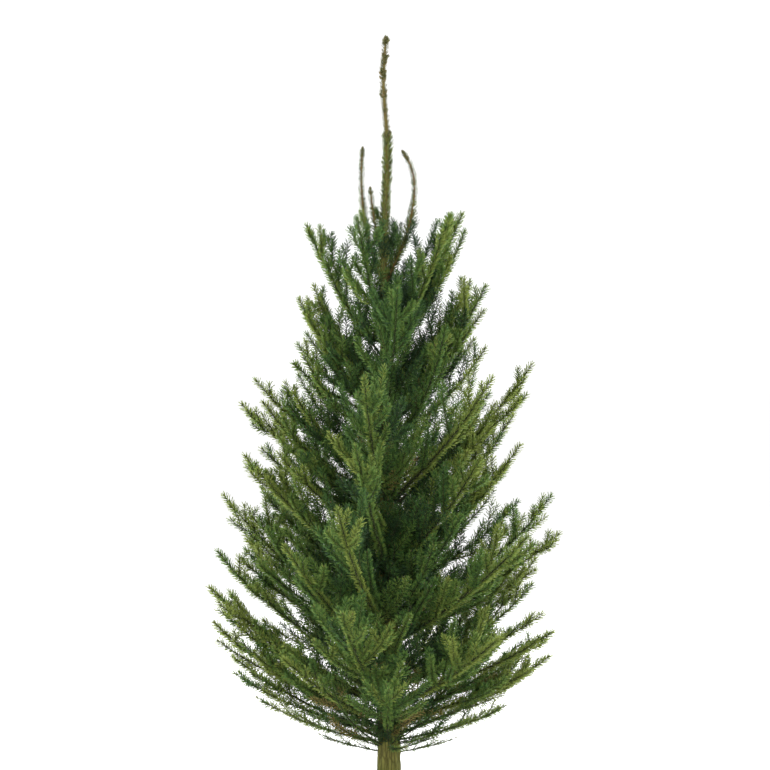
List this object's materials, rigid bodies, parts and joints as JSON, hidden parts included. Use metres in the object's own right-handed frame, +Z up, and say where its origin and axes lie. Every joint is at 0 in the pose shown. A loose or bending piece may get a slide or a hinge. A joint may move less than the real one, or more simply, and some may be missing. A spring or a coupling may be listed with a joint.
{
  "type": "cut spruce christmas tree in a stand",
  "caption": "Undecorated cut spruce Christmas tree: whorls of upswept needled boughs round a tapering trunk with a long leader, clamped by screws in a plain steel bowl stand on flat legs.",
  "frame": {"origin": "centre of the flat underside of the stand's bowl, on the floor, on the trunk's axis at its foot", "axes": "+Z up along the trunk to the leader's tip, +X to the right of the picture's view, +Y away from its camera"},
  "size_m": [0.9453, 0.9053, 2.1],
  "materials": {
    "trunk_bark": "rough scaly bark, grey-brown",
    "bough_bark": "rough young bark, orange-brown",
    "needles": "waxy spruce needles, satin",
    "stand_enamel": "dark green stoved enamel, satin",
    "zinc_plate": "bright zinc plate, satin"
  },
  "bodies": {
    "root": {"bough_1_1": "bough_bark", "bough_1_2": "bough_bark", "bough_1_3": "bough_bark", "bough_1_4": "bough_bark", "bough_2_1": "bough_bark", "bough_2_2": "bough_bark", "bough_2_3": "bough_bark", "bough_2_4": "bough_bark", "bough_2_5": "bough_bark", "bough_2_6": "bough_bark", "clamp_screw_1": "zinc_plate", "clamp_screw_2": "zinc_plate", "clamp_screw_3": "zinc_plate", "clamp_screw_4": "zinc_plate", "leader_shoot": "needles", "needles_1_1": "needles", "needles_1_2": "needles", "needles_1_3": "needles", "needles_1_4": "needles", "needles_2_1": "needles", "needles_2_2": "needles", "needles_2_3": "needles", "needles_2_4": "needles", "needles_2_5": "needles", "needles_2_6": "needles", "needles_3_1": "needles", "needles_3_2": "needles", "needles_3_3": "needles", "needles_3_4": "needles", "needles_3_5": "needles", "needles_3_6": "needles", "needles_4_1": "needles", "needles_4_2": "needles", "needles_4_3": "needles", "needles_4_4": "needles", "needles_4_5": "needles", "needles_5_1": "needles", "needles_5_2": "needles", "needles_5_3": "needles", "needles_5_4": "needles", "needles_5_5": "needles", "needles_6_1": "needles", "needles_6_2": "needles", "needles_6_3": "needles", "needles_6_4": "needles", "needles_6_5": "needles", "needles_7_1": "needles", "needles_7_2": "needles", "needles_7_3": "needles", "needles_7_4": "needles", "needles_7_5": "needles", "needles_8_1": "needles", "needles_8_2": "needles", "needles_8_3": "needles", "stand_bowl": "stand_enamel", "stand_leg_1": "stand_enamel", "stand_leg_2": "stand_enamel", "stand_leg_3": "stand_enamel", "stand_leg_4": "stand_enamel", "trunk": "trunk_bark"}
  },
  "joints": []
}
